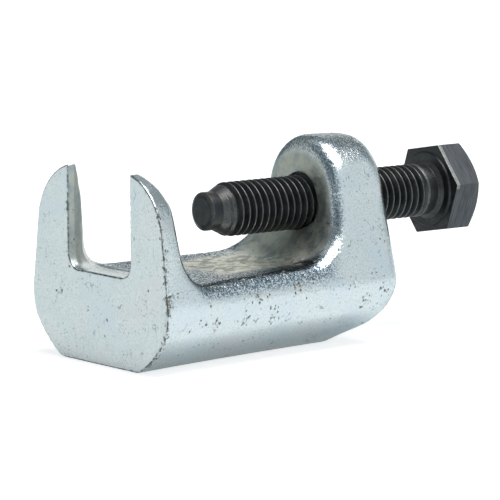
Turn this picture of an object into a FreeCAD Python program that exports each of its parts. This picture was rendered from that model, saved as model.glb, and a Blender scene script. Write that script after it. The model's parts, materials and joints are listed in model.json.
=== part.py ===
"""Ball joint separator: a forged, zinc plated yoke with a hex-head pressure screw.

Each body is modelled about the screw: X runs along the screw's axis, from the fork's front face (X = 0)
towards the screw's head, Z = 0 is that axis and Y = 0 the plane of symmetry. Its Placement then brings the
yoke's underside to Z = 0, with the origin under the middle of the tool.
"""
import FreeCAD, Part
import math
import os

import Sketcher

# alias: (millimetres or degrees, meaning)
DIMENSIONS = {
    # placement in the part's frame
    "axis_height": (31.0, "screw axis above the underside"),
    "origin_setback": (49.0, "fork's front face to the origin"),
    # outline of the yoke across the fork's front face
    "fork_keel_half": (14.6, "half width of the flat underside"),
    "fork_hip_half": (24.9, "half width where the lower bevel starts"),
    "fork_belt_half": (25.3, "half width at the widest line"),
    "fork_shoulder_half": (23.0, "half width where the tines start to curve in"),
    "fork_shoulder_rise": (0.4, "height of that point above the axis"),
    "fork_crown_half": (11.5, "half width at the tine tips"),
    "fork_crown_rise": (11.4, "height of the tine tips above the axis"),
    "fork_arch_radius": (15.0, "curve from the shoulder to the tip"),
    # the same outline across the front of the post, the upright that carries the screw
    "post_keel_half": (6.4, "half width of the flat underside"),
    "post_hip_half": (18.2, "half width where the lower bevel starts"),
    "post_belt_half": (18.8, "half width at the widest line"),
    "post_shoulder_half": (13.2, "half width where the arch starts"),
    "post_shoulder_rise": (1.6, "height of that point above the axis"),
    "post_crown_half": (2.5, "half width of the crown"),
    "post_crown_rise": (14.9, "height of the crown above the axis"),
    "post_arch_radius": (13.6, "arch over the post"),
    # and across the back of the post
    "back_keel_half": (4.8, "half width of the flat underside"),
    "back_hip_half": (17.2, "half width where the lower bevel starts"),
    "back_belt_half": (17.8, "half width at the widest line"),
    "back_shoulder_half": (13.0, "half width where the arch starts"),
    "back_shoulder_rise": (1.6, "height of that point above the axis"),
    "back_crown_half": (2.5, "half width of the crown"),
    "back_crown_rise": (14.4, "height of the crown above the axis"),
    "back_arch_radius": (13.6, "arch over the post"),
    # lines shared by all three outlines
    "keel_stock": (0.5, "stock below the underside, cut off flat"),
    "belt_drop": (16.5, "axis down to the widest line"),
    "hip_drop": (21.5, "axis down to the lower bevel"),
    "post_front": (54.0, "front face to the post's inner face"),
    "yoke_length": (70.4, "front face to the back of the post"),
    # fork slot
    "fork_opening": (23.0, "clear width between the tines"),
    "slot_drop": (11.1, "axis down to the bottom of the fork slot"),
    "slot_corner_radius": (3.5, "corners at the bottom of the slot"),
    "slot_length": (20.0, "how far back the slot is cut"),
    "flare_start": (2.1, "front face to the flare at the back of the slot"),
    "flare_length": (8.0, "length of the flare"),
    "flare_spread": (6.0, "how much the flare opens on each side"),
    # jaw: the space between the tines and the post, seen from the side
    "tip_thickness": (2.3, "tine thickness at the tip"),
    "bevel_thickness": (5.7, "tine thickness below the tip bevel"),
    "bevel_rise": (5.0, "height where the tip bevel ends"),
    "root_thickness": (7.2, "tine thickness above the root curve"),
    "root_drop": (6.5, "axis down to the start of the root curve"),
    "root_radius": (7.5, "curve from the tine into the floor"),
    "floor_start": (14.4, "front face to the start of the floor"),
    "floor_end": (42.5, "front face to the end of the floor"),
    "floor_drop": (12.4, "axis down to the start of the floor"),
    "floor_lift": (0.9, "how much the floor climbs to its end"),
    "heel_radius": (11.0, "curve from the floor up to the post"),
    "heel_drop": (1.6, "axis down to the end of that curve"),
    "jaw_top": (20.0, "top of the jaw and slot cuts, clear of the yoke"),
    # bevel under the back
    "back_bevel_length": (14.0, "bevel along the screw"),
    "back_bevel_height": (15.0, "bevel upwards"),
    "back_bevel_radius": (19.0, "its rounding"),
    # edge rounding
    "back_rim_radius": (5.0, "edges at the back of the post"),
    "hip_radius": (5.0, "rounding above the lower bevel"),
    "keel_radius": (4.0, "rounding along the underside"),
    "corner_radius": (4.0, "rounding between the back bevel and the sides"),
    "rim_radius": (3.4, "edge between the jaw and the outer sides"),
    # screw bore
    "bore_clearance": (0.05, "radial clearance on the thread's crests"),
    "bore_chamfer": (0.8, "chamfer at both mouths of the bore"),
    # pressure screw, M12 x 1.75 with a dog point
    "thread_diameter": (12.0, "major diameter"),
    "thread_pitch": (1.75, "pitch"),
    "thread_start": (31.4, "front face to the start of the thread, on the cone"),
    "thread_end": (87.0, "front face to the end of the thread"),
    "thread_depth": (0.6134, "depth of the groove, in pitches"),
    "root_flat": (0.167, "flat at the bottom of the groove, in pitches"),
    "neck_diameter": (11.4, "plain neck below the head"),
    "neck_fillet": (0.9, "fillet from the neck to the washer face"),
    "head_face": (90.85, "front face to the head's bearing face"),
    "head_height": (7.4, "height of the hexagon"),
    "hex_width": (19.0, "hexagon across flats"),
    "hex_turn": (50.0, "first corner of the hexagon, in degrees from sideways towards up"),
    "hex_chamfer_diameter": (18.0, "flat circle left by the chamfer on the head's end"),
    "washer_diameter": (16.6, "washer face under the head"),
    "washer_height": (0.5, "its height"),
    "point_end": (27.25, "front face to the end of the dog point"),
    "point_length": (3.0, "length of the dog point"),
    "point_diameter": (8.5, "diameter of the dog point"),
    "point_chamfer_across": (1.1, "chamfer on its end, across"),
    "point_chamfer_along": (0.6, "chamfer on its end, along"),
    "cone_length": (3.5, "cone from the dog point up to the thread"),
    # cutting outlines
    "thread_overcut": (0.3, "how far the thread's outline stands clear of the crests"),
    "cut_margin": (1.0, "how far the other outlines run past the solid"),
}

# millimetres, for finding edges by where they lie
ON_PLANE = 0.02     # an edge this near to a plane or a cylinder lies on it
SLACK = 0.1         # margin on the bounds of a set of edges
BULGE = 0.5         # how far the lofted skin may stray from its outlines between them

DOC = FreeCAD.newDocument("BallJointSeparator")
SHEET = DOC.addObject("Spreadsheet::Sheet", "Dims")


def fill_sheet():
    """Write every driving dimension to the sheet, one row each."""
    for row, (alias, (value, meaning)) in enumerate(DIMENSIONS.items(), start=1):
        SHEET.set(f"A{row}", meaning)
        SHEET.set(f"B{row}", str(value))
        SHEET.setAlias(f"B{row}", alias)
    DOC.recompute()


def dim(formula):
    """Turn a formula of aliases, with spaces between its words, into one that names the sheet."""
    words = formula.replace("(", "( ").replace(")", " )").split()
    return " ".join(f"Dims.{word}" if word in DIMENSIONS else word for word in words)


def number(formula):
    """The present value of a formula of aliases."""
    value = SHEET.evalExpression(dim(formula))
    return float(getattr(value, "Value", value))


def new_body(label):
    """A body whose Placement brings the screw's frame to the part's frame."""
    body = DOC.addObject("PartDesign::Body", label)
    body.Label = label
    body.setExpression("Placement.Base.x", dim("-1 * origin_setback"))
    body.setExpression("Placement.Base.z", dim("axis_height"))
    return body


def new_sketch(body, name, role, offset=None):
    """A sketch on one of the body's own origin planes, moved along the plane's normal by offset."""
    plane = next(item for item in body.Origin.OriginFeatures if item.Role == role)
    sketch = body.newObject("Sketcher::SketchObject", name)
    sketch.AttachmentSupport = [(plane, "")]
    sketch.MapMode = "FlatFace"
    if offset:
        sketch.setExpression("AttachmentOffset.Base.z", dim(offset))
    DOC.recompute()
    return sketch


def hold(sketch, kind, formula, *place):
    """Add a dimension to the sketch and bind it to the sheet."""
    held = sketch.addConstraint(Sketcher.Constraint(kind, *place, number(formula)))
    sketch.setExpression(f"Constraints[{held}]", dim(formula))


def hold_point(sketch, edge, end, across, up):
    """Hold one end of an edge at its place, measured from the sketch's origin."""
    for kind, formula, axis in (("DistanceX", across, -2), ("DistanceY", up, -1)):
        if abs(number(formula)) < 1e-9:
            sketch.addConstraint(Sketcher.Constraint("PointOnObject", edge, end, axis))
        else:
            hold(sketch, kind, formula, -1, 1, edge, end)


def arc_through(start, end, radius):
    """The shorter arc from start to end; a positive radius bulges to the right of that direction."""
    chord = end - start
    sagitta = abs(radius) - math.sqrt(radius * radius - chord.Length * chord.Length / 4)
    right = FreeCAD.Vector(chord.y, -chord.x, 0).normalize()
    middle = (start + end) / 2 + right * math.copysign(sagitta, radius)
    return Part.Arc(start, middle, end)


def draw_outline(sketch, corners):
    """Draw a closed outline. Each corner is (across, up) or (across, up, radius) in formulas of aliases:
    with a radius, the side that leaves the corner is an arc that bulges right, or left after a minus."""
    points = [FreeCAD.Vector(number(corner[0]), number(corner[1]), 0) for corner in corners]
    ends = []
    for index, corner in enumerate(corners):
        start = points[index]
        end = points[(index + 1) % len(corners)]
        side = Part.LineSegment(start, end)
        if len(corner) == 3:
            side = arc_through(start, end, number(corner[2]))
        sketch.addGeometry(side, False)
        forward = sketch.getPoint(index, 1).distanceToPoint(start) < 1e-6
        ends.append((1, 2) if forward else (2, 1))
    for index, corner in enumerate(corners):
        following = (index + 1) % len(corners)
        meet = Sketcher.Constraint("Coincident", index, ends[index][1], following, ends[following][0])
        sketch.addConstraint(meet)
        hold_point(sketch, index, ends[index][0], corner[0], corner[1])
        if len(corner) == 3:
            hold(sketch, "Radius", corner[2].replace("-1 * ", ""), index)
    DOC.recompute()


def mirrored(half):
    """Complete an outline that is symmetric about the vertical axis. half runs anticlockwise, from the
    bottom right to the top right; a corner's radius belongs to the side that leaves it."""
    radii = [corner[2:] for corner in half]
    back = []
    for index in reversed(range(len(half))):
        radius = radii[index - 1] if index else ()
        back.append((f"-1 * ( {half[index][0]} )", half[index][1], *radius))
    return list(half) + back


def cut(body, kind, name, sketch, **settings):
    """Add a Pocket, Groove or helix that removes material, and insist that it removed some."""
    before = body.Tip.Shape.Volume
    feature = body.newObject(f"PartDesign::{kind}", name)
    feature.Profile = sketch
    for key, value in settings.items():
        setattr(feature, key, value)
    DOC.recompute()
    if not feature.Shape.Volume < before - 1e-3:
        raise RuntimeError(f"{name} removes nothing")
    return feature


def edges_where(body, test, shortest):
    """Names of the edges of the body's tip, none shorter than shortest, whose points all pass the test."""
    names = []
    for index, edge in enumerate(body.Tip.Shape.Edges, start=1):
        if edge.Length > shortest and all(test(point) for point in edge.discretize(7)):
            names.append(f"Edge{index}")
    return names


def dress(body, kind, name, test, size, shortest=0):
    """Fillet or chamfer the edges that pass the test. It runs on by itself over the edges that are
    tangent to them, so short pieces of a smooth line can be left out."""
    edges = edges_where(body, test, shortest)
    if not edges:
        raise RuntimeError(f"{name} finds no edges")
    base = body.Tip
    feature = body.newObject(f"PartDesign::{kind}", name)
    feature.Base = (base, edges)
    feature.setExpression("Radius" if kind == "Fillet" else "Size", dim(size))
    DOC.recompute()
    return feature


def yoke_section(body, name, offset):
    """The yoke's outline across the screw, at one place along it. The lower bevels run on below the
    underside, into the stock that the flat underside is then cut from."""
    sketch = new_sketch(body, f"{name}_section", "YZ_Plane", offset)
    bevel_slope = f"( {name}_hip_half - {name}_keel_half ) / ( axis_height - hip_drop )"
    half = [
        (f"{name}_keel_half - {bevel_slope} * keel_stock", "-1 * axis_height - keel_stock"),
        (f"{name}_hip_half", "-1 * hip_drop"),
        (f"{name}_belt_half", "-1 * belt_drop"),
        (f"{name}_shoulder_half", f"{name}_shoulder_rise", f"{name}_arch_radius"),
        (f"{name}_crown_half", f"{name}_crown_rise"),
    ]
    draw_outline(sketch, mirrored(half))
    return sketch


def slot_section(body, name, offset, spread, drop):
    """The fork slot's outline: a U, open at the top, widened by spread and lowered by drop."""
    sketch = new_sketch(body, name, "YZ_Plane", offset)
    draw_outline(sketch, mirrored([
        (f"fork_opening / 2 + {spread} - slot_corner_radius", f"-1 * slot_drop - {drop}", "slot_corner_radius"),
        (f"fork_opening / 2 + {spread}", f"-1 * slot_drop - {drop} + slot_corner_radius"),
        (f"fork_opening / 2 + {spread}", "jaw_top"),
    ]))
    return sketch


def build_yoke():
    """The forging: a blank lofted through three outlines, then cut to a fork, a jaw and a post."""
    body = new_body("forged_yoke")
    front = yoke_section(body, "fork", None)
    middle = yoke_section(body, "post", "post_front")
    rear = yoke_section(body, "back", "yoke_length")
    blank = body.newObject("PartDesign::AdditiveLoft", "blank")
    blank.Profile = front
    blank.Sections = [middle, rear]
    blank.Ruled = False
    DOC.recompute()

    underside = new_sketch(body, "underside_outline", "XY_Plane", "-1 * axis_height")
    draw_outline(underside, [
        ("-1 * cut_margin", "-1 * ( fork_belt_half + cut_margin )"),
        ("yoke_length + cut_margin", "-1 * ( fork_belt_half + cut_margin )"),
        ("yoke_length + cut_margin", "fork_belt_half + cut_margin"),
        ("-1 * cut_margin", "fork_belt_half + cut_margin"),
    ])
    cut(body, "Pocket", "underside", underside, Type="ThroughAll")

    jaw = new_sketch(body, "jaw_outline", "XZ_Plane")
    draw_outline(jaw, [
        ("tip_thickness", "jaw_top"),
        ("tip_thickness", "fork_crown_rise"),
        ("bevel_thickness", "bevel_rise"),
        ("root_thickness", "-1 * root_drop", "root_radius"),
        ("floor_start", "-1 * floor_drop"),
        ("floor_end", "-1 * floor_drop + floor_lift", "heel_radius"),
        ("post_front", "-1 * heel_drop"),
        ("post_front", "jaw_top"),
    ])
    cut(body, "Pocket", "jaw", jaw, Type="ThroughAll", Midplane=True)

    slot = slot_section(body, "slot_outline", None, "0", "0")
    fork_slot = cut(body, "Pocket", "fork_slot", slot, Reversed=True, Length=number("slot_length"))
    fork_slot.setExpression("Length", dim("slot_length"))
    DOC.recompute()
    flare_end = "flare_start + flare_length"
    flare_front = slot_section(body, "flare_front", "flare_start", "0", "0")
    flare_back = slot_section(body, "flare_back", flare_end, "flare_spread", "( floor_drop - slot_drop )")
    cut(body, "SubtractiveLoft", "flare", flare_front, Sections=[flare_back], Ruled=True)

    bevel = new_sketch(body, "back_bevel_outline", "XZ_Plane")
    draw_outline(bevel, [
        ("yoke_length - back_bevel_length", "-1 * axis_height", "back_bevel_radius"),
        ("yoke_length", "-1 * axis_height + back_bevel_height"),
        ("yoke_length + cut_margin", "-1 * axis_height + back_bevel_height"),
        ("yoke_length + cut_margin", "-1 * axis_height"),
    ])
    cut(body, "Pocket", "back_bevel", bevel, Type="ThroughAll", Midplane=True)
    round_yoke(body)
    return body


def round_yoke(body):
    """Round the forging's edges, each set found by where it lies in the screw's frame."""
    def near(value, formula):
        return abs(value - number(formula)) < ON_PLANE

    bevel_top = number("-1 * axis_height + back_bevel_height")
    bevel_front = number("yoke_length - back_bevel_length")
    dress(body, "Fillet", "back_rounding", lambda p: (
        near(p.x, "yoke_length") and p.z > bevel_top - SLACK
        and (abs(p.y) > number("back_crown_half") - BULGE or p.z > 0)
    ), "back_rim_radius")
    dress(body, "Fillet", "hip_rounding", lambda p: near(p.z, "-1 * hip_drop"), "hip_radius")
    dress(body, "Fillet", "keel_rounding", lambda p: (
        near(p.z, "-1 * axis_height") and abs(p.y) > number("back_keel_half") - BULGE
    ), "keel_radius")
    dress(body, "Fillet", "corner_rounding", lambda p: (
        p.x > bevel_front - BULGE and p.z < bevel_top + SLACK and abs(p.y) > number("post_keel_half")
    ), "corner_radius", number("corner_radius"))
    dress(body, "Fillet", "rim_rounding", lambda p: (
        number("floor_start") - SLACK < p.x < number("post_front") + SLACK
        and p.z > number("-1 * floor_drop") - SLACK
        and (abs(p.y) > number("post_shoulder_half") - BULGE or p.z > number("post_shoulder_rise") - SLACK)
    ), "rim_radius")


def bore_post(body):
    """Bore the post for the screw, with a chamfer at both mouths."""
    ring = new_sketch(body, "bore_circle", "YZ_Plane", "post_front - bore_chamfer")
    ring.addGeometry(Part.Circle(FreeCAD.Vector(0, 0, 0), FreeCAD.Vector(0, 0, 1), 1), False)
    ring.addConstraint(Sketcher.Constraint("Coincident", 0, 3, -1, 1))
    hold(ring, "Radius", "thread_diameter / 2 + bore_clearance", 0)
    DOC.recompute()
    cut(body, "Pocket", "bore", ring, Type="ThroughAll", Reversed=True)
    radius = number("thread_diameter / 2 + bore_clearance")
    mouths = (number("post_front"), number("yoke_length"))
    dress(body, "Chamfer", "bore_mouths", lambda p: (
        abs(math.hypot(p.y, p.z) - radius) < ON_PLANE and min(abs(p.x - x) for x in mouths) < ON_PLANE
    ), "bore_chamfer")


def turned(body, name, corners, kind="Revolution"):
    """Revolve an outline of (along, radius) corners about the screw's axis, or groove with it."""
    profile = new_sketch(body, f"{name}_profile", "XZ_Plane")
    draw_outline(profile, corners)
    if kind == "Groove":
        return cut(body, kind, name, profile, ReferenceAxis=(profile, ["H_Axis"]), Angle=360)
    feature = body.newObject("PartDesign::Revolution", name)
    feature.Profile = profile
    feature.ReferenceAxis = (profile, ["H_Axis"])
    feature.Angle = 360
    DOC.recompute()
    return feature


def draw_hexagon(sketch):
    """A regular hexagon about the sketch's origin, sized by its width across flats."""
    centre = FreeCAD.Vector(0, 0, 0)
    radius = number("hex_width / sqrt( 3 )")
    turn = number("hex_turn")
    corners = []
    for index in range(6):
        angle = math.radians(turn + 60 * index)
        corners.append(FreeCAD.Vector(radius * math.cos(angle), radius * math.sin(angle), 0))
    for index in range(6):
        sketch.addGeometry(Part.LineSegment(corners[index], corners[(index + 1) % 6]), False)
    circle = sketch.addGeometry(Part.Circle(centre, FreeCAD.Vector(0, 0, 1), radius), True)
    spoke = sketch.addGeometry(Part.LineSegment(centre, corners[0]), True)
    sketch.addConstraint(Sketcher.Constraint("Coincident", circle, 3, -1, 1))
    sketch.addConstraint(Sketcher.Constraint("Coincident", spoke, 1, -1, 1))
    sketch.addConstraint(Sketcher.Constraint("Coincident", spoke, 2, 0, 1))
    hold(sketch, "Radius", "hex_width / sqrt( 3 )", circle)
    for index in range(6):
        following = (index + 1) % 6
        sketch.addConstraint(Sketcher.Constraint("Coincident", index, 2, following, 1))
        sketch.addConstraint(Sketcher.Constraint("PointOnObject", index, 1, circle))
        if following:
            sketch.addConstraint(Sketcher.Constraint("Equal", index, following))
    held = sketch.addConstraint(Sketcher.Constraint("Angle", spoke, math.radians(turn)))
    sketch.setExpression(f"Constraints[{held}]", dim("hex_turn * 1 deg"))
    DOC.recompute()


def build_screw():
    """The pressure screw: cone, thread, neck, washer face and hexagon head."""
    body = new_body("pressure_screw")
    turned(body, "shank", [
        ("point_end + point_length", "0"),
        ("head_face + head_height / 2", "0"),
        ("head_face + head_height / 2", "washer_diameter / 2"),
        ("head_face - washer_height", "washer_diameter / 2"),
        ("head_face - washer_height", "neck_diameter / 2 + neck_fillet", "-1 * neck_fillet"),
        ("head_face - washer_height - neck_fillet", "neck_diameter / 2"),
        ("thread_end", "neck_diameter / 2"),
        ("thread_end", "thread_diameter / 2"),
        ("point_end + point_length + cone_length", "thread_diameter / 2"),
        ("point_end + point_length", "point_diameter / 2"),
    ])
    hexagon = new_sketch(body, "hexagon", "YZ_Plane", "head_face")
    draw_hexagon(hexagon)
    head = body.newObject("PartDesign::Pad", "head")
    head.Profile = hexagon
    head.setExpression("Length", dim("head_height"))
    DOC.recompute()
    reach = "hex_width"
    turned(body, "head_chamfer", [
        ("head_face + head_height", "hex_chamfer_diameter / 2"),
        ("head_face + head_height + cut_margin", "hex_chamfer_diameter / 2"),
        ("head_face + head_height + cut_margin", reach),
        (f"head_face + head_height - ( {reach} - hex_chamfer_diameter / 2 ) / sqrt( 3 )", reach),
    ], "Groove")
    cut_thread(body)
    return body


def cut_thread(body):
    """Cut the screw's thread as one right-hand helical groove of metric section."""
    groove = new_sketch(body, "thread_groove", "XZ_Plane")
    root = "thread_diameter / 2 - thread_depth * thread_pitch"
    crest = "thread_diameter / 2 + thread_overcut"
    root_half = "thread_pitch * root_flat / 2"
    crest_half = f"{root_half} + ( thread_depth * thread_pitch + thread_overcut ) / sqrt( 3 )"
    draw_outline(groove, [
        (f"thread_start - ( {crest_half} )", crest),
        (f"thread_start - {root_half}", root),
        (f"thread_start + {root_half}", root),
        (f"thread_start + {crest_half}", crest),
    ])
    settings = {"ReferenceAxis": (groove, ["H_Axis"]), "Mode": 0, "LeftHanded": False}
    helix = cut(body, "SubtractiveHelix", "thread", groove, Pitch=number("thread_pitch"),
                Height=number("thread_end - thread_start"), **settings)
    helix.setExpression("Pitch", dim("thread_pitch"))
    helix.setExpression("Height", dim("thread_end - thread_start"))
    DOC.recompute()


def build_point():
    """The screw's dog point, the unthreaded end that presses on the ball stud."""
    body = new_body("dog_point")
    turned(body, "point", [
        ("point_end", "0"),
        ("point_end + point_length", "0"),
        ("point_end + point_length", "point_diameter / 2"),
        ("point_end + point_chamfer_along", "point_diameter / 2"),
        ("point_end", "point_diameter / 2 - point_chamfer_across"),
    ])
    return body


def check_document(bodies):
    """Stop before anything is written if any object failed to rebuild."""
    for item in DOC.Objects:
        if "Invalid" in item.State or "Error" in item.State:
            raise RuntimeError(f"{item.Name} is {item.State}")
    for body in bodies:
        shape = body.Shape
        if shape.isNull() or not shape.isValid() or len(shape.Solids) != 1:
            raise RuntimeError(f"{body.Label} is not one valid solid")


def main():
    fill_sheet()
    yoke = build_yoke()
    bore_post(yoke)
    bodies = [yoke, build_screw(), build_point()]
    DOC.recompute()
    check_document(bodies)
    os.makedirs("parts", exist_ok=True)
    for body in bodies:
        body.Shape.exportStep(f"parts/{body.Label}.step")


main()
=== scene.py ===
"""Looks of the ball joint separator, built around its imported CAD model.

The forged yoke and the pressure screw are rebuilt as fine meshes on the CAD shapes. The yoke's edges are
softened, its lower bevels swelled and the floor of its jaw dished, and its skin is slightly uneven and
pitted, as a forging's is. The thread starts on the cone and runs out at the neck as a cut thread does.
All lengths are metres in the frame of the CAD model; MM turns millimetres into metres.
"""
import json
import math

import bmesh
import bpy
import numpy as np
from mathutils import Matrix, Vector, kdtree, noise


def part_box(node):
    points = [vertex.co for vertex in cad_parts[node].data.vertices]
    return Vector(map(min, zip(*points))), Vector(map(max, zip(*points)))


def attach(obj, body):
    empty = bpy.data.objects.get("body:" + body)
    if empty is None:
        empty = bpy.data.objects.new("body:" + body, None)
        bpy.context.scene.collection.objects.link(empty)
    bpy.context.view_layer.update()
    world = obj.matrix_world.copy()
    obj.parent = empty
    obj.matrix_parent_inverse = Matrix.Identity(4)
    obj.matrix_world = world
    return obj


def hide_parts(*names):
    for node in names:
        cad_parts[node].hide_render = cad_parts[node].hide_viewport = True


MM = 0.001

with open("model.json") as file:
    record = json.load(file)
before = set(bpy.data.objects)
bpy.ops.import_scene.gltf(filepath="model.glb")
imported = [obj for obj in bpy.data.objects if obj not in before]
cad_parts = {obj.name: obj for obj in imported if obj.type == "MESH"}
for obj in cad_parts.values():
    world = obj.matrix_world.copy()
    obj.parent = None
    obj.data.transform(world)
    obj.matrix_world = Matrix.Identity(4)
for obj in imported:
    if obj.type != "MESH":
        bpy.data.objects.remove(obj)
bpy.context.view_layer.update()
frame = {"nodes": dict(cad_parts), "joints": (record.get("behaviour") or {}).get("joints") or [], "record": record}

# ---------------------------------------------------------------- places read from the frame
TURN = next(joint for joint in frame["joints"] if joint["name"] == "screw_turn")
COUPLING = frame["record"]["behaviour"]["couplings"][0]
AXIS_Z = TURN["pos_m"][2]
PITCH = math.tau / COUPLING["ratio"]
YOKE_LOW, YOKE_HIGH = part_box("forged_yoke")
SCREW_LOW, SCREW_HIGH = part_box("pressure_screw")
POINT_LOW, POINT_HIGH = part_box("dog_point")
FRONT_X = YOKE_LOW.x
HEAD_END_X = SCREW_HIGH.x

# ---------------------------------------------------------------- sizes of the yoke
FLOOR_START = 14.4 * MM           # front face to the jaw's floor
FLOOR_END = 42.5 * MM             # front face to the curve up to the post
FLOOR_HEIGHT = AXIS_Z - 12.4 * MM
FLOOR_HALF = 18 * MM              # half width of the jaw's floor
FLOOR_DISH = 0.7 * MM             # depth of the dish in its middle
POST_FRONT = 54 * MM              # front face to the post's inner face
POST_BACK = 62 * MM               # front face to the rounding of the post's back
POST_RADIUS = YOKE_HIGH.z - AXIS_Z   # of the crown, round the screw's axis
BORE_RADIUS = 6.12 * MM           # 0.07 mm wider than in the CAD model, clear of the turning thread
SLOT_HALF = 11.5 * MM             # half the opening between the tines
FORK_HIP_HALF = 24.9 * MM         # half width above the lower bevels, at the front face
POST_HIP_HALF = 18.2 * MM         # and at the post
HIP_HEIGHT = 9.5 * MM             # height of the lower bevels
BEVEL_NORMAL = (0.68, 0.74)       # outwards and downwards
BEVEL_SWELL = 0.9 * MM            # how far the bevels bulge in their middle

# ---------------------------------------------------------------- sizes of the screw
THREAD_RADIUS = 6.0 * MM
ROOT_RADIUS = THREAD_RADIUS - 0.6134 * PITCH
NECK_RADIUS = 5.7 * MM
NECK_FILLET = 0.9 * MM            # where the neck widens to the washer face
POINT_RADIUS = 4.25 * MM
WASHER_RADIUS = 8.3 * MM
WASHER_HEIGHT = 0.5 * MM
HEAD_HEIGHT = 7.4 * MM
HEX_HALF_FLATS = 9.5 * MM
HEX_FIRST_CORNER = math.radians(50)
HEX_END_RADIUS = 9.0 * MM         # of the flat end, inside the chamfer
HEX_CHAMFER = math.radians(30)
HEX_EDGE = 0.15 * MM              # size of the rounding along the hexagon's edges
FACE_RADIUS = 8.9 * MM            # of the bearing face, inside the hexagon's flats
CONE_LENGTH = 3.5 * MM
THREAD_CLEAR = 3.85 * MM          # end of the thread to the head's bearing face
THREAD_PHASE = 31.4 * MM          # front face to a groove of the thread, above the axis
SEAM = 0.02 * MM                  # keeps the turning screw off the dog point's face
WORN_STRIP = 0.8 * MM             # width of the bright strip beside the bearing face
WORN_FROM, WORN_TO = 106, 175     # where the strip lies round the axis, in degrees
POINT_CHAMFER = 0.6 * MM          # length of the dog point's chamfer
POINT_TAPER = 1.1 * MM            # and how much the radius grows along it
THREAD_PROFILE = [                # share of a pitch from the middle of a groove, share of the full depth
    (0.00, 1.0), (0.06, 0.985), (0.11, 0.90), (0.25, 0.53), (0.40, 0.12),
    (0.44, 0.02), (0.50, 0.0), (0.56, 0.02), (0.60, 0.12), (0.75, 0.53),
    (0.89, 0.90), (0.94, 0.985),
]


# ---------------------------------------------------------------- small tools
def new_object(name, data):
    """Put a mesh or a camera into the scene as an object."""
    made = bpy.data.objects.new(name, data)
    bpy.context.scene.collection.objects.link(made)
    return made


def coordinates(mesh):
    """The places of a mesh's points, one row each."""
    flat = np.zeros(len(mesh.vertices) * 3, np.float64)
    mesh.vertices.foreach_get("co", flat)
    return flat.reshape(-1, 3)


def normals(mesh):
    """The directions that a mesh's points face, one row each."""
    flat = np.zeros(len(mesh.vertices) * 3, np.float64)
    mesh.vertices.foreach_get("normal", flat)
    return flat.reshape(-1, 3)


def set_coordinates(mesh, points):
    """Move a mesh's points to new places."""
    mesh.vertices.foreach_set("co", points.astype(np.float32).ravel())
    mesh.update()


def add_attribute(mesh, name, values):
    """Store one number per point on a mesh, for its material to read."""
    layer = mesh.attributes.new(name, "FLOAT", "POINT")
    layer.data.foreach_set("value", np.asarray(values, np.float32))


def smoothstep(low, high, value):
    """0 at low and beyond, 1 at high and beyond, smooth in between; low may be the larger one."""
    share = np.clip((value - low) / (high - low), 0, 1)
    return share * share * (3 - 2 * share)


def within(value, low, high):
    """Whether each value lies between low and high."""
    return (value > low) & (value < high)


def noise_at(points, size, shift=0.0):
    """Smooth noise between about -1 and 1 whose features are size metres wide."""
    return np.array([noise.noise(Vector(point)) for point in points / size + shift])


# ---------------------------------------------------------------- the yoke
VOXEL = 0.2 * MM
SKIN_TURN = Matrix.Rotation(0.62, 3, (0.4, 0.7, 0.59))   # keeps the voxels off the faces' directions
EDGE_ROUNDS = 14                                         # softens every edge a little
FORGED_ROUNDS = 220                                      # melts the forged faces into each other
FRONT_CRISP = (1.2 * MM, 3.6 * MM)                       # melting grows behind the front face,
BASE_CRISP = (0.3 * MM, 2.5 * MM)                        # above the underside
BORE_CRISP = (7 * MM, 10 * MM)                           # and away from the screw's axis
TINE_TIP = (AXIS_Z + 6 * MM, AXIS_Z + 9 * MM)            # heights over which it fades at the tips
TIP_CRISPNESS = 0.75
WELD_DISTANCE = 0.001 * MM
# the last three zones carry painted light: painted highlight patches on the jaw's floor, painted shade in the slot
# and on the post's face, and a painted dark reflection round the rims
ZONES_IN_MATERIAL = ("ground", "cast", "rim", "warm", "shaded_tone", "painted_dark_reflection")
PIT_SEED = 11
SMALLEST_PIT, PIT_RANGE = 0.13 * MM, 0.27 * MM           # radii
PIT_DEPTH, DEEPEST_PIT = 0.4, 0.08 * MM                  # share of the radius, and its limit
PIT_RAGGEDNESS = 0.8                                     # how uneven a pit's outline is
PIT_DENT = 0.3 * MM                                      # size of the dents in it
OFF_SKIN = 2 * MM                                        # a pit that falls further off is left out
LUMP_HEIGHT, LUMP_SIZE = 0.045 * MM, 5 * MM
RIPPLE_HEIGHT, RIPPLE_SIZE = 0.014 * MM, 1.4 * MM
GRAIN_SIZE = 0.85 * MM
HAMMER_SIZE = 1.6 * MM


def remeshed(node, name):
    """A copy of a CAD node with an even skin of small quads and softened edges."""
    source = new_object("remesh_source", frame["nodes"][node].data.copy())
    weld = bmesh.new()
    weld.from_mesh(source.data)
    bmesh.ops.remove_doubles(weld, verts=weld.verts, dist=WELD_DISTANCE)
    bmesh.ops.transform(weld, matrix=SKIN_TURN.to_4x4(), verts=weld.verts)
    weld.to_mesh(source.data)
    weld.free()
    modifier = source.modifiers.new("skin", "REMESH")
    modifier.mode = "VOXEL"
    modifier.voxel_size = VOXEL
    graph = bpy.context.evaluated_depsgraph_get()
    mesh = bpy.data.meshes.new_from_object(source.evaluated_get(graph))
    bpy.data.objects.remove(source)
    mesh.name = name
    mesh.materials.clear()
    mesh.transform(SKIN_TURN.inverted().to_4x4())
    return mesh


def edge_pairs(mesh):
    """The two point numbers of each edge of a mesh."""
    pairs = np.zeros(len(mesh.edges) * 2, np.int64)
    mesh.edges.foreach_get("vertices", pairs)
    return pairs.reshape(-1, 2)


def relaxed(points, pairs, rounds, share=0.5):
    """Move every point towards the middle of its neighbours, which rounds the edges."""
    count = np.bincount(pairs.ravel(), minlength=len(points))[:, None]
    for _ in range(rounds):
        total = np.zeros_like(points)
        for column in range(3):
            total[:, column] = (
                np.bincount(pairs[:, 0], points[pairs[:, 1], column], len(points))
                + np.bincount(pairs[:, 1], points[pairs[:, 0], column], len(points))
            )
        points = points + share * (total / count - points)
    return points


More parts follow.
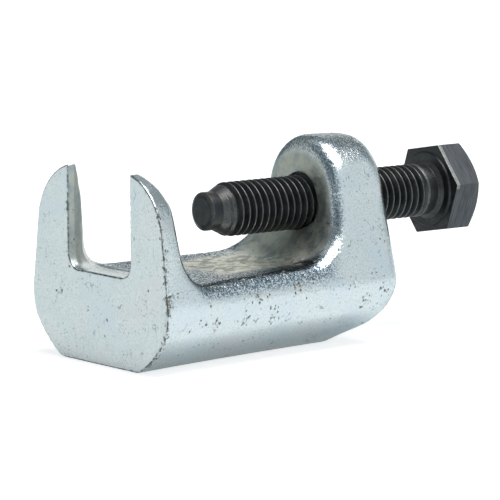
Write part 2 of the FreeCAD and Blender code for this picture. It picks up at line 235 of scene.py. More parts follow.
def pit_zones(points, facing):
    """Where the skin of the forging is poorest, in rows for pit_places."""
    from_front = points[:, 0] - FRONT_X
    height = points[:, 2]
    near_side = points[:, 1] < -10 * MM
    edge = near_side & within(from_front, 0.1 * MM, 0.9 * MM)
    belt = within(height, 9 * MM, 21 * MM) & (from_front > 4 * MM)
    side_face = (np.abs(facing[:, 0]) < 0.5) & (height > 0.5 * MM)
    return [  # which points, how many clusters, spread of a cluster, most pits in one
        (edge & within(height, 12 * MM, 36 * MM), 48, 0.3 * MM, 7),
        (edge & within(height, 12 * MM, 17 * MM), 12, 0.6 * MM, 9),
        (edge & (height <= 12 * MM), 22, 0.3 * MM, 4),
        (belt & near_side, 34, 1.1 * MM, 9),
        (belt & near_side & within(from_front, 14 * MM, 46 * MM), 26, 0.7 * MM, 12),
        (belt & ~near_side, 26, 1.1 * MM, 9),
        (near_side & (from_front > POST_BACK) & (height < 34 * MM), 14, 0.7 * MM, 5),
        (side_face, 60, 0.9 * MM, 3),
        (from_front < 0.1 * MM, 14, 0.5 * MM, 4),
        (from_front > POST_BACK, 16, 1.0 * MM, 4),
    ]


def pit_places(points, facing):
    """Middles and radii of the casting pits, which lie in clusters."""
    random = np.random.default_rng(PIT_SEED)
    places = []
    for mask, clusters, spread, most in pit_zones(points, facing):
        for middle in points[random.choice(np.flatnonzero(mask), clusters)]:
            for _ in range(random.integers(1, most + 1)):
                radius = SMALLEST_PIT + PIT_RANGE * random.random() ** 3
                places.append((middle + random.normal(0, spread, 3), radius))
    return places


def add_pits(points, facing):
    """Sink the pits into the skin; returns the points and how dirty each one is."""
    tree = kdtree.KDTree(len(points))
    for index, point in enumerate(points):
        tree.insert(point, index)
    tree.balance()
    dirt = np.zeros(len(points))
    sunk = points.copy()
    for middle, radius in pit_places(points, facing):
        place, _, distance = tree.find(middle)
        if distance > OFF_SKIN:
            continue
        depth = min(radius * PIT_DEPTH, DEEPEST_PIT)
        for spot, index, reach in tree.find_range(place, radius * (1 + PIT_RAGGEDNESS)):
            ragged = radius * (1 + PIT_RAGGEDNESS * noise.noise(spot / PIT_DENT))
            share = max(0.0, 1 - (reach / ragged) ** 2)
            if share > dirt[index]:
                dirt[index] = min(1.0, 1.6 * share)
                sunk[index] = points[index] - facing[index] * share * depth
    return sunk, dirt


def melted(points, pairs):
    """Soften all edges, and the forged ones much more than the ground front face and the bore."""
    crisp = relaxed(points, pairs, EDGE_ROUNDS)
    soft = relaxed(crisp, pairs, FORGED_ROUNDS)
    from_front = crisp[:, 0] - FRONT_X
    height = crisp[:, 2]
    from_axis = np.hypot(crisp[:, 1], height - AXIS_Z)
    share = smoothstep(*FRONT_CRISP, from_front) * smoothstep(*BASE_CRISP, height)
    tine_tip = smoothstep(*TINE_TIP, height) * (from_front < FLOOR_START)
    bore = (1 - smoothstep(*BORE_CRISP, from_axis)) * (from_front > FLOOR_END)
    share = share * (1 - TIP_CRISPNESS * tine_tip) * (1 - bore)
    return crisp + (soft - crisp) * share[:, None]


def swelled(points):
    """Swell the lower bevels a little, as forged ones are, and dish the floor of the jaw."""
    from_front = points[:, 0] - FRONT_X
    sideways = np.abs(points[:, 1])
    height = points[:, 2]
    hip_half = FORK_HIP_HALF + (POST_HIP_HALF - FORK_HIP_HALF) * from_front / POST_FRONT
    up_bevel = np.clip(height / HIP_HEIGHT, 0, 1)
    swell = BEVEL_SWELL * 4 * up_bevel * (1 - up_bevel) * smoothstep(0.3, 0.75, sideways / hip_half)
    on_floor = smoothstep(4 * MM, 1.5 * MM, np.abs(height - FLOOR_HEIGHT))
    on_floor = on_floor * smoothstep(FLOOR_START - 6 * MM, FLOOR_START + 4 * MM, from_front)
    on_floor = on_floor * smoothstep(POST_FRONT - 2 * MM, FLOOR_END, from_front)
    dish = FLOOR_DISH * np.clip(1 - (sideways / FLOOR_HALF) ** 2, 0, 1) * on_floor
    points = points.copy()
    points[:, 1] += np.sign(points[:, 1]) * swell * BEVEL_NORMAL[0]
    points[:, 2] -= swell * BEVEL_NORMAL[1] + dish
    return points


def cleared_bore(points):
    """Push the wall of the bore out to its radius, which softening has narrowed."""
    from_axis = np.hypot(points[:, 1], points[:, 2] - AXIS_Z)
    inside = (points[:, 0] > FRONT_X + FLOOR_END) & (from_axis < BORE_RADIUS)
    growth = np.where(inside, BORE_RADIUS / np.maximum(from_axis, MM), 1)
    points = points.copy()
    points[:, 1] *= growth
    points[:, 2] = AXIS_Z + (points[:, 2] - AXIS_Z) * growth
    return points


class Skin:
    """Where each point of the yoke's skin lies, and which way it faces."""

    def __init__(self, points, facing):
        self.from_front = points[:, 0] - FRONT_X
        self.sideways = np.abs(points[:, 1])
        self.height = points[:, 2]
        self.above_floor = self.height - FLOOR_HEIGHT
        self.from_axis = np.hypot(points[:, 1], self.height - AXIS_Z)
        self.forwards = -facing[:, 0]
        self.outwards = np.abs(facing[:, 1])
        self.up = facing[:, 2]
        self.on_post = self.from_front > FLOOR_END


def finish_zones(skin):
    """The ground front face and its edge, the forged skin, and the grainy parts of that skin."""
    ground = smoothstep(0.97, 0.995, skin.forwards) * (skin.from_front < 0.5 * MM)
    edge = smoothstep(0.995, 0.93, skin.forwards) * smoothstep(0.15, 0.6, skin.forwards)
    edge = edge * (skin.from_front < 0.7 * MM)
    forged = (1 - ground) * smoothstep(6.5 * MM, 8 * MM, skin.from_axis)
    forged = forged * smoothstep(0.2 * MM, 2 * MM, skin.height)
    forged = forged * smoothstep(0.3 * MM, 1.5 * MM, skin.from_front)
    cast = smoothstep(4 * MM, 6 * MM, skin.from_front)
    cast = cast * smoothstep(0.2, 0.8, skin.up + np.abs(skin.forwards))
    cast = cast * (1 - 0.7 * smoothstep(0.5, 0.1, skin.forwards) * (skin.height > AXIS_Z))
    return ground, edge, forged, cast


def jaw_zones(skin):
    """The jaw's floor with its rounded sides, the middle of the jaw, and its flat floor alone."""
    hollow = smoothstep(0.15, 0.45, skin.up) * within(skin.above_floor, -6 * MM, 6 * MM)
    hollow = hollow * smoothstep(9 * MM, 12 * MM, skin.from_front)
    hollow = hollow * smoothstep(POST_FRONT, POST_FRONT - 6 * MM, skin.from_front)
    middle = smoothstep(14 * MM, 9 * MM, skin.sideways) * smoothstep(21 * MM, 30 * MM, skin.from_front)
    floor = smoothstep(0.75, 0.97, skin.up) * (skin.above_floor < 3.5 * MM)
    floor = floor * (skin.from_front < POST_FRONT - 2 * MM)
    return hollow, middle, floor


def post_zones(skin):
    """The curve at the foot of the post, the post's inner face, the rounded rim round it, and the crown."""
    beside_face = skin.from_front > POST_FRONT - 4 * MM
    foot = smoothstep(0.1, 0.3, skin.up) * skin.on_post
    foot = foot * (skin.height < AXIS_Z - 4 * MM) * (skin.above_floor > -2 * MM)
    foot = foot * smoothstep(15 * MM, 12 * MM, skin.sideways)
    face = smoothstep(0.85, 0.97, skin.forwards) * skin.on_post * (skin.from_axis > BORE_RADIUS)
    face = np.maximum(face, foot * smoothstep(0.25, 0.55, skin.forwards))
    rim = smoothstep(0.97, 0.85, skin.forwards) * smoothstep(0.25, 0.5, skin.forwards) * (1 - foot)
    rim = rim * beside_face * (skin.above_floor > -2 * MM) * (skin.from_axis > 7 * MM)
    ring = smoothstep(POST_RADIUS - 4.5 * MM, POST_RADIUS - 2 * MM, skin.from_axis)
    ring = ring * (skin.above_floor > 5 * MM) * smoothstep(0.3, 0.5, skin.forwards)
    ring = ring * beside_face * (1 - foot)
    crown = smoothstep(0.5, 0.85, skin.up) * (skin.height > AXIS_Z + 7 * MM) * skin.on_post
    return foot, face * (1 - ring), np.maximum(rim, ring), crown


def slot_wall_zone(skin):
    """The walls of the slot between the tines."""
    wall = smoothstep(0.45, 0.75, skin.outwards) * (skin.sideways < SLOT_HALF + 2.5 * MM)
    return wall * (skin.above_floor > 0) * within(skin.from_front, 0.2 * MM, FLOOR_START)


def yoke_zones(points, facing):
    """How far each point belongs to each zone of the yoke's skin, from 0 to 1, by the zone's name."""
    skin = Skin(points, facing)
    ground, edge, forged, cast = finish_zones(skin)
    hollow, middle, floor = jaw_zones(skin)
    foot, post_face, post_rim, crown = post_zones(skin)
    # painted dark reflection on the jaw's rounded floor sides, fainter in the jaw's middle
    jaw_dark_reflection = hollow * (1 - 0.8 * middle) * (1 - foot)
    return {
        "ground": ground,
        "forged": forged,
        "cast": cast * forged,
        "rim": edge,
        "hollow": hollow * (1 - middle),
        "warm": floor * middle,
        # painted shade: the slot's walls and the post's inner face are darkened to a grey-green tone
        "shaded_tone": np.maximum(0.85 * slot_wall_zone(skin), post_face),
        # painted dark reflection: the jaw's rims, the post's rim and its crown are painted dark blue
        "painted_dark_reflection": np.maximum.reduce([jaw_dark_reflection, 0.7 * post_rim, 0.65 * crown]),
    }


def unevenness(points, zones):
    """Height of the forging's lumps, its shot-blasted grain, and the hammered floor of the jaw."""
    lumps = LUMP_HEIGHT * noise_at(points, LUMP_SIZE) + RIPPLE_HEIGHT * noise_at(points, RIPPLE_SIZE, 7.0)
    grain_height = (0.02 * zones["cast"] + 0.03 * zones["warm"]) * MM
    hammer_height = (0.045 * zones["hollow"] + 0.05 * zones["warm"]) * MM
    grain = grain_height * noise_at(points, GRAIN_SIZE, 3.0)
    hammered = hammer_height * noise_at(points, HAMMER_SIZE, 5.0)
    return zones["forged"] * (lumps + grain + hammered)


def make_yoke():
    """The yoke: one forging, softened, swelled, uneven and pitted, with the marks its material reads."""
    mesh = remeshed("forged_yoke", "yoke")
    points = swelled(melted(coordinates(mesh), edge_pairs(mesh)))
    set_coordinates(mesh, points)
    facing = normals(mesh)
    zones = yoke_zones(points, facing)
    points = points + facing * unevenness(points, zones)[:, None]
    points, dirt = add_pits(points, facing)
    set_coordinates(mesh, cleared_bore(points))
    add_attribute(mesh, "pit", dirt)
    for name in ZONES_IN_MATERIAL:
        add_attribute(mesh, name, zones[name])
    mesh.polygons.foreach_set("use_smooth", [True] * len(mesh.polygons))
    yoke = new_object("yoke_forging", mesh)
    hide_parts("forged_yoke")
    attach(yoke, "yoke")
    return yoke


# ---------------------------------------------------------------- the screw
COLUMNS = 144
# the crests' share is partly wear and partly painted highlight lines
CREST_WEAR_AND_HIGHLIGHT, CONE_WEAR, NECK_WEAR, STRIP_WEAR, CHAMFER_WEAR = 0.28, 0.16, 0.08, 0.6, 0.25
POINT_WEAR = 0.2


def column_angles():
    """Angles round the screw, closer together near the corners of the hexagon."""
    per_side = COLUMNS // 6
    spread = np.linspace(-1, 1, per_side, endpoint=False)
    from_flat = math.radians(30) * np.sign(spread) * np.abs(spread) ** 0.75
    flats = [HEX_FIRST_CORNER + math.radians(30 + 60 * number) for number in range(6)]
    return np.concatenate([flat + from_flat for flat in flats])


ANGLES = column_angles()


def hexagon_radius(angles):
    """Distance from the axis to the sides of the head's hexagon."""
    from_flat = (angles - HEX_FIRST_CORNER) % math.radians(60) - math.radians(30)
    return HEX_HALF_FLATS / np.cos(from_flat)


def lathe(name, rows):
    """A closed mesh from rows of (x, radius), each a number or one value per column."""
    mesh = bpy.data.meshes.new(name)
    made = bmesh.new()
    rings = []
    for along, radius in rows:
        along = np.broadcast_to(along, ANGLES.shape)
        radius = np.broadcast_to(radius, ANGLES.shape)
        ring = [
            made.verts.new((x, r * math.cos(a), AXIS_Z + r * math.sin(a)))
            for x, r, a in zip(along, radius, ANGLES)
        ]
        rings.append(ring)
    for first, second in zip(rings, rings[1:]):
        for index in range(COLUMNS):
            following = (index + 1) % COLUMNS
            made.faces.new((first[index], first[following], second[following], second[index]))
    for ring in (rings[0], rings[-1]):
        x = sum(vert.co.x for vert in ring) / COLUMNS
        centre = made.verts.new((x, 0, AXIS_Z))
        for index in range(COLUMNS):
            made.faces.new((ring[index], ring[(index + 1) % COLUMNS], centre))
    bmesh.ops.remove_doubles(made, verts=made.verts, dist=2 * WELD_DISTANCE)
    bmesh.ops.recalc_face_normals(made, faces=made.faces)
    made.to_mesh(mesh)
    made.free()
    return mesh


def rounded(corners, radius, steps=3):
    """Replace each inner corner of a polyline of (x, radius) points by a small arc."""
    path = [Vector(point) for point in corners]
    out = [path[0]]
    for before, corner, after in zip(path, path[1:], path[2:]):
        into = (before - corner).normalized()
        away = (after - corner).normalized()
        reach = min(radius, (before - corner).length * 0.45, (after - corner).length * 0.45)
        start, end = corner + into * reach, corner + away * reach
        for step in range(steps + 1):
            share = step / steps
            out.append(start.lerp(corner, share).lerp(corner.lerp(end, share), share))
    out.append(path[-1])
    return [tuple(point) for point in out]


def thread_rows(start_x, cone_end_x, end_x):
    """Rows that follow the helix from the start of the cone to the end of the thread."""
    depth = THREAD_RADIUS - ROOT_RADIUS
    groove_x = FRONT_X + THREAD_PHASE - PITCH / 4
    first = math.floor((start_x - groove_x) / PITCH) - 1
    last = math.ceil((end_x - groove_x) / PITCH) + 1
    turn_share = ANGLES / math.tau
    rows = []
    for turn in range(first, last):
        for share, drop in THREAD_PROFILE:
            x = groove_x + PITCH * (turn + share + turn_share)
            x = np.clip(x, start_x, end_x)
            fade = 1 - smoothstep(end_x - 1.2 * PITCH, end_x - 0.1 * PITCH, x)
            up_cone = np.clip((x - start_x) / (cone_end_x - start_x), 0, 1)
            envelope = POINT_RADIUS + (THREAD_RADIUS - POINT_RADIUS) * up_cone
            rows.append((x, np.minimum(envelope, THREAD_RADIUS - depth * drop * fade)))
    return rows


def mark_wear_and_highlights(mesh, thread_end_x, bearing_x):
    """Mark the crests lighter, partly for wear and partly as painted highlight lines, the worn strip beside the
    bearing face and the ground flats.
    """
    points = coordinates(mesh)
    x = points[:, 0]
    across = points[:, 1]
    up = points[:, 2] - AXIS_Z
    radius = np.hypot(across, up)
    angle = np.arctan2(up, across)
    turned_to = np.degrees(angle) % 360
    below_side = hexagon_radius(angle) - radius
    on_head = (x > bearing_x - 0.01 * MM) & (below_side < 0.2 * MM)

    crest = smoothstep(THREAD_RADIUS - 0.06 * MM, THREAD_RADIUS - 0.02 * MM, radius) * (x < thread_end_x)
    cone = x < SCREW_LOW.x + 0.9 * CONE_LENGTH
    neck = within(x, thread_end_x - PITCH, bearing_x - WASHER_HEIGHT)
    strip = on_head & within(x, bearing_x + 0.02 * MM, bearing_x + WORN_STRIP + 0.05 * MM)
    strip = strip & within(turned_to, WORN_FROM, WORN_TO)
    chamfer = (x > HEAD_END_X - 1.5 * MM) & (radius > HEX_END_RADIUS - 0.2 * MM)
    chamfer = chamfer & (below_side > 0.02 * MM)
    flat = smoothstep(0.12 * MM, 0.03 * MM, below_side) * on_head * (x > bearing_x + 0.1 * MM)
    turned = [CREST_WEAR_AND_HIGHLIGHT * crest, CONE_WEAR * cone, NECK_WEAR * neck]
    milled = [STRIP_WEAR * strip, CHAMFER_WEAR * chamfer]
    add_attribute(mesh, "wear_and_highlight", np.maximum.reduce(turned + milled))
    add_attribute(mesh, "flat", flat)


def neck_rows(thread_end_x, bearing_x):
    """Rows of the plain neck and the washer face, from the end of the thread to the bearing face."""
    washer_x = bearing_x - WASHER_HEIGHT
    return rounded([
        (thread_end_x, THREAD_RADIUS),
        (thread_end_x + 0.25 * MM, NECK_RADIUS),
        (washer_x - NECK_FILLET, NECK_RADIUS),
        (washer_x, NECK_RADIUS + NECK_FILLET),
        (washer_x, WASHER_RADIUS),
        (bearing_x, WASHER_RADIUS + 0.2 * MM),
        (bearing_x, FACE_RADIUS),
    ], 0.12 * MM)


def head_rows(bearing_x):
    """Rows of the hexagon, with its rounded edges, its chamfer and its flat end."""
    hexagon = hexagon_radius(ANGLES)
    chamfer_x = HEAD_END_X - (hexagon - HEX_END_RADIUS) * math.tan(HEX_CHAMFER)
    sides = [
        (bearing_x, hexagon - HEX_EDGE),
        (bearing_x + HEX_EDGE * 0.3, hexagon - HEX_EDGE * 0.3),
        (bearing_x + HEX_EDGE, hexagon),
        (bearing_x + WORN_STRIP, hexagon),
        (bearing_x + WORN_STRIP + HEX_EDGE, hexagon),
        (chamfer_x - HEX_EDGE, hexagon),
        (chamfer_x, hexagon - HEX_EDGE * 0.2),
        (HEAD_END_X - HEX_EDGE * 0.4, HEX_END_RADIUS + HEX_EDGE * 0.4),
        (HEAD_END_X, HEX_END_RADIUS - HEX_EDGE),
    ]
    return sides + [(HEAD_END_X, HEX_END_RADIUS * share) for share in (0.75, 0.5, 0.25)]


def make_screw():
    """The turning part of the screw: cone, thread, neck, washer face and hexagon."""
    start_x = SCREW_LOW.x
    bearing_x = HEAD_END_X - HEAD_HEIGHT
    thread_end_x = bearing_x - THREAD_CLEAR
    rows = thread_rows(start_x, start_x + CONE_LENGTH, thread_end_x)
    rows = rows + neck_rows(thread_end_x, bearing_x) + head_rows(bearing_x)
    mesh = lathe("screw", rows)
    mark_wear_and_highlights(mesh, thread_end_x, bearing_x)
    screw = new_object("screw", mesh)
    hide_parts("pressure_screw")
    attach(screw, "screw")
    return screw


def make_point():
    """The dog point at the screw's end, with its worn chamfer."""
    rows = rounded([
        (POINT_LOW.x, 0.5 * MM),
        (POINT_LOW.x, POINT_RADIUS - POINT_TAPER),
        (POINT_LOW.x + POINT_CHAMFER, POINT_RADIUS),
        (POINT_HIGH.x - SEAM, POINT_RADIUS),
        (POINT_HIGH.x - SEAM, POINT_RADIUS / 2),
    ], 0.1 * MM)
    mesh = lathe("point", rows)
    points = coordinates(mesh)
    on_chamfer = within(points[:, 0], POINT_LOW.x + 0.05 * MM, POINT_LOW.x + POINT_CHAMFER + 0.1 * MM)
    add_attribute(mesh, "wear_and_highlight", POINT_WEAR * on_chamfer)
    add_attribute(mesh, "flat", np.zeros(len(points)))
    point = new_object("point", mesh)
    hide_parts("dog_point")
    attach(point, "screw_end")
    return point


# ---------------------------------------------------------------- materials
def add_node(tree, kind, inputs=None, **settings):
    """Add a shader node; inputs are set to plain values or linked to other nodes' outputs."""
    made = tree.nodes.new(kind)
    for key, value in settings.items():
        setattr(made, key, value)
    for key, value in (inputs or {}).items():
        if isinstance(value, bpy.types.NodeSocket):
            tree.links.new(value, made.inputs[key])
        else:
            made.inputs[key].default_value = value
    return made


def math_node(tree, operation, first, second=0.0, clamp=False):
    inputs = {0: first, 1: second}
    return add_node(tree, "ShaderNodeMath", inputs, operation=operation, use_clamp=clamp).outputs[0]


def vector_node(tree, operation, first, second):
    return add_node(tree, "ShaderNodeVectorMath", {0: first, 1: second}, operation=operation)


def product(tree, first, second):
    return math_node(tree, "MULTIPLY", first, second)


def step_node(tree, value, low, high, to_low=0.0, to_high=1.0):
    """A smooth step of value from low to high."""
    inputs = {"Value": value, "From Min": low, "From Max": high, "To Min": to_low, "To Max": to_high}
    made = add_node(tree, "ShaderNodeMapRange", inputs, interpolation_type="SMOOTHSTEP")
    return made.outputs["Result"]


def mix_colors(tree, share, first, second):
    """The first colour at share 0, the second at share 1."""
    made = add_node(tree, "ShaderNodeMix", data_type="RGBA")
    colors = [socket for socket in made.inputs if socket.type == "RGBA"]
    for socket, value in ((made.inputs[0], share), (colors[0], first), (colors[1], second)):
        if isinstance(value, bpy.types.NodeSocket):
            tree.links.new(value, socket)
        elif socket.type == "RGBA":
            socket.default_value = (*value, 1)
        else:
            socket.default_value = value
    return next(socket for socket in made.outputs if socket.type == "RGBA")


def noise_node(tree, where, scale, detail=2.0, roughness=0.5, distortion=0.0):
    inputs = {"Vector": where, "Scale": scale, "Detail": detail}
    inputs.update({"Roughness": roughness, "Distortion": distortion})
    return add_node(tree, "ShaderNodeTexNoise", inputs).outputs["Fac"]


def bump_node(tree, height, distance, under=None):
    """Relief of the given height, in metres, on top of the relief under it."""
    inputs = {"Height": height, "Distance": distance, "Strength": 1.0}
    if under is not None:
        inputs["Normal"] = under
    return add_node(tree, "ShaderNodeBump", inputs).outputs["Normal"]


def attribute_node(tree, name):
    return add_node(tree, "ShaderNodeAttribute", attribute_name=name).outputs["Fac"]


def new_material(name):
    """A material, its node tree and its shader."""
    material = bpy.data.materials.new(name)
    material.use_nodes = True
    return material, material.node_tree, material.node_tree.nodes["Principled BSDF"]


# colours
ZINC_GREY, ZINC_PALE = (0.70, 0.74, 0.75), (0.84, 0.87, 0.87)
ZINC_BLUE, ZINC_ROSE = (0.73, 0.80, 0.84), (0.82, 0.80, 0.81)
JAW_FLOOR_TONE, JAW_FLOOR_HIGHLIGHT = (0.60, 0.61, 0.57), (0.98, 0.96, 0.88)   # the jaw's floor: a grey tone mottled with cream-white painted highlight patches
SHADED_TONE_DARK, SHADED_TONE_LIGHT = (0.34, 0.37, 0.36), (0.52, 0.52, 0.45)       # the slot and the post's face: a rough grey-green tone, darkened as painted shade
DARK_REFLECTION_BLUE = (0.16, 0.22, 0.28)                                             # painted dark reflection, on the rims of the jaw and the post and on the crown
SPECK, SCRATCH, EDGE_LINE = (0.26, 0.28, 0.28), (0.27, 0.29, 0.29), (0.15, 0.16, 0.17)
PIT_BLACK, PIT_BROWN = (0.05, 0.05, 0.048), (0.17, 0.13, 0.09)
OXIDE_DARK, OXIDE_LIGHT = (0.035, 0.037, 0.040), (0.060, 0.060, 0.058)
GROUND_DARK, GROUND_LIGHT = (0.068, 0.072, 0.079), (0.118, 0.123, 0.132)
# bare steel where the black oxide is worn; on the thread crests it is also a painted highlight
WORN_STEEL_AND_HIGHLIGHT = (0.45, 0.44, 0.42)


def zinc_color(tree, grain, marks):
    """Clouded zinc: warm on the jaw's floor with painted highlight patches, a darker grey-green tone of a rough
    finish with painted shade in the slot and on the post, and a painted dark reflection round the rims.
    """
    color = mix_colors(tree, step_node(tree, grain["fine"], 0.35, 0.6), ZINC_GREY, ZINC_PALE)
    color = mix_colors(tree, step_node(tree, grain["cloudy"], 0.45, 0.7, 0.0, 0.6), color, ZINC_BLUE)
    color = mix_colors(tree, step_node(tree, grain["cloudy"], 0.45, 0.3, 0.0, 0.5), color, ZINC_ROSE)
    # the jaw's floor: its light cream patches are painted highlights
    blasted = mix_colors(tree, step_node(tree, grain["coarse"], 0.42, 0.56), JAW_FLOOR_TONE, JAW_FLOOR_HIGHLIGHT)
    color = mix_colors(tree, marks["warm"], color, blasted)
    # a darker grey-green tone in the slot and on the post's face, partly painted shade
    shaded_tone_mix = mix_colors(tree, step_node(tree, grain["coarse"], 0.35, 0.6), SHADED_TONE_DARK, SHADED_TONE_LIGHT)
    color = mix_colors(tree, product(tree, marks["shaded_tone"], 0.9), color, shaded_tone_mix)
    # painted dark reflection round the rims, broken up by the fine grain
    dark_reflection_mix = product(tree, marks["painted_dark_reflection"], step_node(tree, grain["fine"], 0.56, 0.46, 0.05, 1.0))
    return mix_colors(tree, dark_reflection_mix, color, DARK_REFLECTION_BLUE)


def with_marks(tree, color, where, grain, marks):
    """Add dark specks, short scratches, the broken line along the front edge and the dirt in the pits."""
    specks = add_node(tree, "ShaderNodeTexVoronoi", {"Vector": where, "Scale": 1150, "Randomness": 1.0})
    chance = step_node(tree, noise_node(tree, where, 260, 2), 0.50, 0.62, 0.1, 1.0)
    speck = product(tree, step_node(tree, specks.outputs["Distance"], 0.30, 0.14), chance)
    color = mix_colors(tree, product(tree, speck, 0.55), color, SPECK)
    bend = noise_node(tree, where, 240, 2, 0.5, 0.6)
    off_line = math_node(tree, "ABSOLUTE", math_node(tree, "SUBTRACT", bend, 0.52))
    short = step_node(tree, noise_node(tree, where, 330, 1), 0.60, 0.66)
    scratch = product(tree, step_node(tree, off_line, 0.016, 0.006), short)
    color = mix_colors(tree, product(tree, scratch, 0.6), color, SCRATCH)
    broken = step_node(tree, grain["medium"], 0.38, 0.56, 0.25, 1.0)
    color = mix_colors(tree, product(tree, marks["rim"], broken), color, EDGE_LINE)
    dirt = mix_colors(tree, step_node(tree, grain["medium"], 0.4, 0.6), PIT_BLACK, PIT_BROWN)
    return mix_colors(tree, product(tree, marks["pit"], 0.9), color, dirt)


def zinc_relief(tree, grain, marks):
    """Grain of the blasted skin, fainter on the ground face and stronger where the skin is cast."""
    rugged = math_node(tree, "SUBTRACT", 1.0, product(tree, marks["ground"], 0.65))
    rugged = math_node(tree, "ADD", rugged, product(tree, marks["cast"], 0.3))
    normal = None
    for size, height in (("coarse", 0.05 * MM), ("medium", 0.045 * MM), ("fine", 0.04 * MM)):
        normal = bump_node(tree, product(tree, grain[size], rugged), height, normal)
    return normal


def zinc_material():
    """Bright zinc over a shot-blasted forging; its noises have so many features to the metre."""
    material, tree, shader = new_material("zinc_plated_steel")
    where = add_node(tree, "ShaderNodeTexCoord").outputs["Object"]
    grain = {
        "fine": noise_node(tree, where, 2600, 3, 0.65),
        "medium": noise_node(tree, where, 1100, 3, 0.6),
        "coarse": noise_node(tree, where, 420, 3, 0.6),
        "cloudy": noise_node(tree, where, 110, 2),
    }
    marks = {name: attribute_node(tree, name) for name in ("pit",) + ZONES_IN_MATERIAL}
    color = with_marks(tree, zinc_color(tree, grain, marks), where, grain, marks)
    tree.links.new(color, shader.inputs["Base Color"])
    tree.links.new(color, shader.inputs["Specular Tint"])
    rough = step_node(tree, grain["coarse"], 0.3, 0.7, 0.15, 0.23)
    for name, more in (("ground", 0.16), ("warm", 0.14), ("shaded_tone", 0.32), ("pit", 0.4)):
        rough = math_node(tree, "ADD", rough, product(tree, marks[name], more), clamp=True)
    tree.links.new(rough, shader.inputs["Roughness"])
    metal = math_node(tree, "SUBTRACT", 1.0, product(tree, marks["pit"], 0.6))
    tree.links.new(metal, shader.inputs["Metallic"])
    tree.links.new(zinc_relief(tree, grain, marks), shader.inputs["Normal"])
    return material


def oxide_material():
    """Black oxide on turned steel: satin and dark, with thread crests lightened for wear and as painted highlight
    lines, and ground flats.
    """
    material, tree, shader = new_material("black_oxide_steel")
    where = add_node(tree, "ShaderNodeTexCoord").outputs["Object"]
    fine = noise_node(tree, where, 2200, 3, 0.6)
    patches = noise_node(tree, where, 260, 3, 0.6)
    along_flats = vector_node(tree, "MULTIPLY", where, (60, 3, 3)).outputs["Vector"]
    lines = noise_node(tree, along_flats, 60, 3, 0.7)

    color = mix_colors(tree, step_node(tree, patches, 0.4, 0.65), OXIDE_DARK, OXIDE_LIGHT)
    ground = mix_colors(tree, step_node(tree, lines, 0.35, 0.65), GROUND_DARK, GROUND_LIGHT)
    color = mix_colors(tree, attribute_node(tree, "flat"), color, ground)
    # bare steel where worn; on the thread crests this is also a painted highlight line
    worn = product(tree, attribute_node(tree, "wear_and_highlight"), step_node(tree, fine, 0.30, 0.55, 0.35, 1.0))
    color = mix_colors(tree, worn, color, WORN_STEEL_AND_HIGHLIGHT)
    tree.links.new(color, shader.inputs["Base Color"])
    shader.inputs["Metallic"].default_value = 0.85
    tree.links.new(step_node(tree, patches, 0.3, 0.7, 0.34, 0.46), shader.inputs["Roughness"])
    turned = bump_node(tree, lines, 0.004 * MM)
    tree.links.new(bump_node(tree, fine, 0.008 * MM, turned), shader.inputs["Normal"])
    return material


# ---------------------------------------------------------------- camera and light
CAMERA_AZIMUTH, CAMERA_ELEVATION, CAMERA_ROLL = -36.965, 8.059, -0.209   # degrees
CAMERA_LENS, CAMERA_SENSOR = 308.69, 36                                  # millimetres
CAMERA_BACK, CAMERA_RIGHT, CAMERA_DOWN = 917.67 * MM, 32.432 * MM, 5.948 * MM
PANELS = [  # azimuth, elevation, half angles inside and outside the soft edge, colour
    (-68, 10, 49, 57, (0.65, 0.73, 0.76)),   # wide wall beside the near side
    (6, 0, 14, 24, (0.55, 0.61, 0.63)),      # low, beyond the screw's head
    (25, 34, 18, 30, (0.31, 0.35, 0.36)),    # dim, high behind the tool
    (107, 38, 18, 32, (0.30, 0.34, 0.34)),   # dim, high behind the fork
    (105, 70, 10, 20, (0.50, 0.56, 0.60)),   # small, nearly overhead
    (42, 4, 20, 30, (1.0, 1.0, 0.97)),       # low behind the tool, seen in the jaw's floor
    (150, -4, 26, 44, (0.62, 0.65, 0.63)),   # low before the fork, seen in the post's inner face
    (-50, 74, 18, 23, (6.4, 6.4, 6.4)),      # softbox overhead
]
DARK_ROOM = (0.19, 0.24, 0.265)
FLOOR_REACH = 6.0


def make_camera():
    """A long lens, low before the fork's near corner."""
    angles = (CAMERA_AZIMUTH, CAMERA_ELEVATION, CAMERA_ROLL)
    azimuth, elevation, roll = (math.radians(angle) for angle in angles)
    back = Vector((
        math.sin(azimuth) * math.cos(elevation),
        -math.cos(azimuth) * math.cos(elevation),
        math.sin(elevation),
    ))
    right = Vector((math.cos(azimuth), math.sin(azimuth), 0))
    up = back.cross(right)
    rolled_right = right * math.cos(roll) + up * math.sin(roll)
    rolled_up = up * math.cos(roll) - right * math.sin(roll)
    data = bpy.data.cameras.new("camera")
    data.lens = CAMERA_LENS
    data.sensor_width = CAMERA_SENSOR
    data.clip_start = 0.01
    data.clip_end = 20
    camera = new_object("camera", data)
    rotation = Matrix((rolled_right, rolled_up, back)).transposed()
    place = Vector((FRONT_X, 0, AXIS_Z)) + back * CAMERA_BACK
    place = place + rolled_right * CAMERA_RIGHT - rolled_up * CAMERA_DOWN
    camera.matrix_world = Matrix.Translation(place) @ rotation.to_4x4()
    bpy.context.scene.camera = camera


def direction(azimuth, elevation):
    """Unit vector; azimuth turns from +X towards +Y, both in degrees."""
    a, e = math.radians(azimuth), math.radians(elevation)
    return Vector((math.cos(a) * math.cos(e), math.sin(a) * math.cos(e), math.sin(e)))


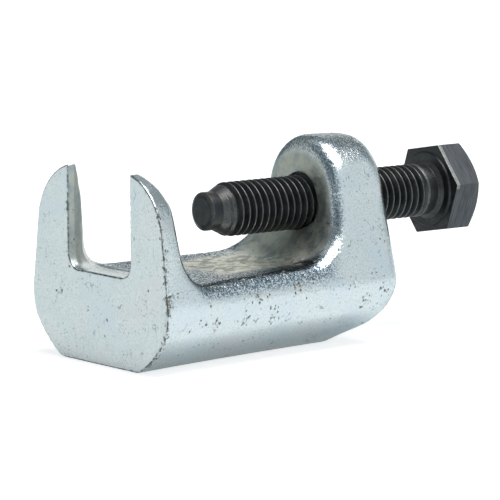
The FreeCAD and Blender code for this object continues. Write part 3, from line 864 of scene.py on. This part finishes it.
def make_world():
    """A dark studio with lit panels; the camera itself sees white behind the tool."""
    world = bpy.data.worlds.new("studio")
    bpy.context.scene.world = world
    world.use_nodes = True
    tree = world.node_tree
    where = add_node(tree, "ShaderNodeTexCoord").outputs["Generated"]
    color = DARK_ROOM
    for azimuth, elevation, inner, outer, tint in PANELS:
        cosine = vector_node(tree, "DOT_PRODUCT", where, direction(azimuth, elevation)).outputs["Value"]
        inside = step_node(tree, cosine, math.cos(math.radians(outer)), math.cos(math.radians(inner)))
        color = mix_colors(tree, inside, color, tint)
    camera_ray = add_node(tree, "ShaderNodeLightPath").outputs["Is Camera Ray"]
    color = mix_colors(tree, camera_ray, color, (1, 1, 1))
    tree.links.new(color, tree.nodes["Background"].inputs["Color"])


def make_floor():
    """A pale floor. The camera sees it lifted almost to white; the metal reflects it with painted light, lighter
    on the side towards the softbox.
    """
    mesh = bpy.data.meshes.new("floor")
    corners = [(FLOOR_REACH * x, FLOOR_REACH * y, 0) for x, y in ((-1, -1), (1, -1), (1, 1), (-1, 1))]
    mesh.from_pydata(corners, [], [(0, 1, 2, 3)])
    floor = new_object("floor", mesh)
    material, tree, shader = new_material("pale_floor")
    where = add_node(tree, "ShaderNodeTexCoord").outputs["Object"]
    # painted light: the floor as reflected is lighter on the side towards the softbox and darker away from it
    side = vector_node(tree, "DOT_PRODUCT", where, direction(-50, 0)).outputs["Value"]
    lit = step_node(tree, side, -0.10, 0.06)
    seen_in_metal = mix_colors(tree, lit, (0.55, 0.60, 0.60), (0.62, 0.67, 0.69))
    camera_ray = add_node(tree, "ShaderNodeLightPath").outputs["Is Camera Ray"]
    color = mix_colors(tree, camera_ray, seen_in_metal, (0.5, 0.5, 0.5))
    tree.links.new(color, shader.inputs["Base Color"])
    shader.inputs["Roughness"].default_value = 0.9
    shader.inputs["Specular IOR Level"].default_value = 0.0
    shader.inputs["Emission Color"].default_value = (1, 1, 1, 1)
    glow = step_node(tree, camera_ray, 0, 1, 0.20, 0.70)
    tree.links.new(glow, shader.inputs["Emission Strength"])
    mesh.materials.append(material)


yoke = make_yoke()
screw = make_screw()
point = make_point()
zinc = zinc_material()
oxide = oxide_material()
yoke.data.materials.append(zinc)
screw.data.materials.append(oxide)
point.data.materials.append(oxide)
make_camera()
make_world()
make_floor()
bpy.context.scene.view_settings.view_transform = "Standard"
